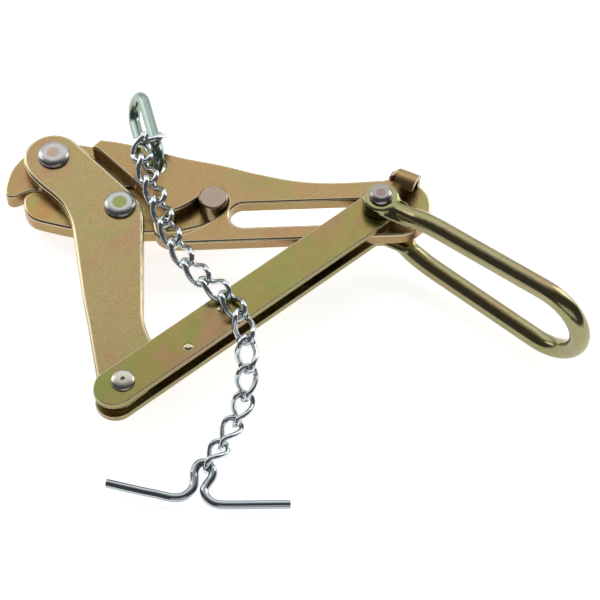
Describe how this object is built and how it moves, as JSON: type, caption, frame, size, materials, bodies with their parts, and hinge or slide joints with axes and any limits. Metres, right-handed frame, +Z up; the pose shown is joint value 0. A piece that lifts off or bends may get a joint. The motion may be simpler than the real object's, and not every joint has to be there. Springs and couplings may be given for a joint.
{
  "type": "wire grip",
  "caption": "Parallel-jaw wire grip: slotted plate, moving jaw worked by a lever and link bars, forged pull bail, and a safety chain that ends in a T-toggle.",
  "frame": {"origin": "bottom centre of the box round the whole tool", "axes": "+X along the pull slot to the bail end, +Y to the chain ring, +Z up out of the front face as the tool lies on its back"},
  "size_m": [0.3019, 0.2468, 0.0568],
  "materials": {
    "plate": "yellow zinc plate, satin",
    "jaw": "yellow zinc plate, satin",
    "lever": "yellow zinc plate, satin",
    "bar": "olive zinc plate, satin",
    "bail": "yellow zinc plate, bright",
    "rivet": "bright steel, turned",
    "pin": "zinc plate, brushed",
    "ring": "bright zinc",
    "chain": "bright zinc",
    "toggle": "bright zinc"
  },
  "bodies": {
    "frame": {"body": "plate", "lever_rivet": "rivet"},
    "lever": {"lever": "lever"},
    "jaw": {"moving_jaw": "jaw", "jaw_rivet": "rivet", "guide_plug": "pin"},
    "link": {"link_bar_front": "bar", "link_bar_rear": "bar", "link_rivet": "rivet", "main_pin": "pin"},
    "bail": {"bail": "bail"},
    "ring": {"chain_ring": "ring"},
    "first": {"first_link": "chain"},
    "link_01": {"chain_link_01": "chain"},
    "link_02": {"chain_link_02": "chain"},
    "link_03": {"chain_link_03": "chain"},
    "link_04": {"chain_link_04": "chain"},
    "link_05": {"chain_link_05": "chain"},
    "link_06": {"chain_link_06": "chain"},
    "link_07": {"chain_link_07": "chain"},
    "link_08": {"chain_link_08": "chain"},
    "link_09": {"chain_link_09": "chain"},
    "link_10": {"chain_link_10": "chain"},
    "link_11": {"chain_link_11": "chain"},
    "link_12": {"chain_link_12": "chain"},
    "link_13": {"chain_link_13": "chain"},
    "link_14": {"chain_link_14": "chain"},
    "link_15": {"chain_link_15": "chain"},
    "toggle": {"toggle": "toggle"}
  },
  "joints": [
    {"name": "lever_swing", "type": "hinge", "parent": "frame", "child": "lever", "pos_m": [-0.1243, 0.0815, 0.0325], "axis": [0, 0, 1], "range_deg": [-25, 0]},
    {"name": "jaw_shift", "type": "hinge", "parent": "lever", "child": "jaw", "pos_m": [-0.08838, 0.04729, 0.0325], "axis": [0, 0, 1], "range_deg": [0, 25.5]},
    {"name": "link_swing", "type": "hinge", "parent": "lever", "child": "link", "pos_m": [-0.08573, -0.06346, 0.0325], "axis": [0, 0, 1], "range_deg": [0, 27.5]},
    {"name": "bail_swing", "type": "hinge", "parent": "link", "child": "bail", "pos_m": [0.049, 0.0382, 0.0325], "axis": [0, 0, -1], "range_deg": [-24, 70]},
    {"name": "ring_roll", "type": "hinge", "parent": "frame", "child": "ring", "pos_m": [-0.0697, 0.0723, 0.0286], "axis": [0.2164, -0.9763, 0], "range_deg": [0, 5]},
    {"name": "first_link_lift", "type": "hinge", "parent": "ring", "child": "first", "pos_m": [-0.0707, 0.0872, 0.0376], "axis": [-0.9988, 0.0499, 0], "range_deg": [0, 5]},
    {"name": "chain_link_01_lift", "type": "hinge", "parent": "first", "child": "link_01", "pos_m": [-0.07395, 0.08313, 0.04332], "axis": [-0.9877, 0.1564, 0], "range_deg": [0, 10]},
    {"name": "chain_link_02_turn", "type": "hinge", "parent": "link_01", "child": "link_02", "pos_m": [-0.07616, 0.06917, 0.04282], "axis": [0, 0, 1], "range_deg": [0, 4]},
    {"name": "chain_link_03_lift", "type": "hinge", "parent": "link_02", "child": "link_03", "pos_m": [-0.07298, 0.05538, 0.04282], "axis": [-0.9455, -0.3256, 0], "range_deg": [0, 20]},
    {"name": "chain_link_04_turn", "type": "hinge", "parent": "link_03", "child": "link_04", "pos_m": [-0.06837, 0.042, 0.04258], "axis": [0, 0, 1], "range_deg": [0, 20]},
    {"name": "chain_link_05_lift", "type": "hinge", "parent": "link_04", "child": "link_05", "pos_m": [-0.064, 0.02855, 0.04233], "axis": [-0.9336, -0.3584, 0], "range_deg": [0, 20]},
    {"name": "chain_link_06_turn", "type": "hinge", "parent": "link_05", "child": "link_06", "pos_m": [-0.05893, 0.01534, 0.04233], "axis": [0, 0, 1], "range_deg": [0, 20]},
    {"name": "chain_link_07_lift", "type": "hinge", "parent": "link_06", "child": "link_07", "pos_m": [-0.05273, 0.00262, 0.04208], "axis": [-0.788, -0.6157, 0], "range_deg": [0, 20]},
    {"name": "chain_link_08_turn", "type": "hinge", "parent": "link_07", "child": "link_08", "pos_m": [-0.04402, -0.00853, 0.04184], "axis": [0, 0, 1], "range_deg": [0, 20]},
    {"name": "chain_link_09_lift", "type": "hinge", "parent": "link_08", "child": "link_09", "pos_m": [-0.03351, -0.018, 0.04208], "axis": [-0.8572, -0.515, 0], "range_deg": [0, 20]},
    {"name": "chain_link_10_turn", "type": "hinge", "parent": "link_09", "child": "link_10", "pos_m": [-0.02622, -0.03012, 0.04233], "axis": [0, 0, 1], "range_deg": [0, 20]},
    {"name": "chain_link_11_lift", "type": "hinge", "parent": "link_10", "child": "link_11", "pos_m": [-0.0236, -0.0436, 0.03891], "axis": [-0.9994, 0.0349, 0], "range_deg": [0, 20]},
    {"name": "chain_link_12_turn", "type": "hinge", "parent": "link_11", "child": "link_12", "pos_m": [-0.02401, -0.05532, 0.03099], "axis": [0, 0, 1], "range_deg": [0, 20]},
    {"name": "chain_link_13_lift", "type": "hinge", "parent": "link_12", "child": "link_13", "pos_m": [-0.02651, -0.06537, 0.02134], "axis": [-0.891, 0.454, 0], "range_deg": [0, 20]},
    {"name": "chain_link_14_turn", "type": "hinge", "parent": "link_13", "child": "link_14", "pos_m": [-0.03213, -0.07639, 0.01448], "axis": [0, 0, 1], "range_deg": [0, 20]},
    {"name": "chain_link_15_lift", "type": "hinge", "parent": "link_14", "child": "link_15", "pos_m": [-0.03912, -0.0885, 0.01227], "axis": [-0.8572, 0.515, 0], "range_deg": [0, 20]},
    {"name": "toggle_turn", "type": "hinge", "parent": "link_15", "child": "toggle", "pos_m": [-0.04725, -0.10203, 0.01172], "axis": [0, 0, 1], "range_deg": [-12, 12]}
  ],
  "couplings": [
    {"joint": "jaw_shift", "follows": "lever_swing", "ratio": -1},
    {"joint": "link_swing", "follows": "lever_swing", "ratio": -1.0888}
  ]
}
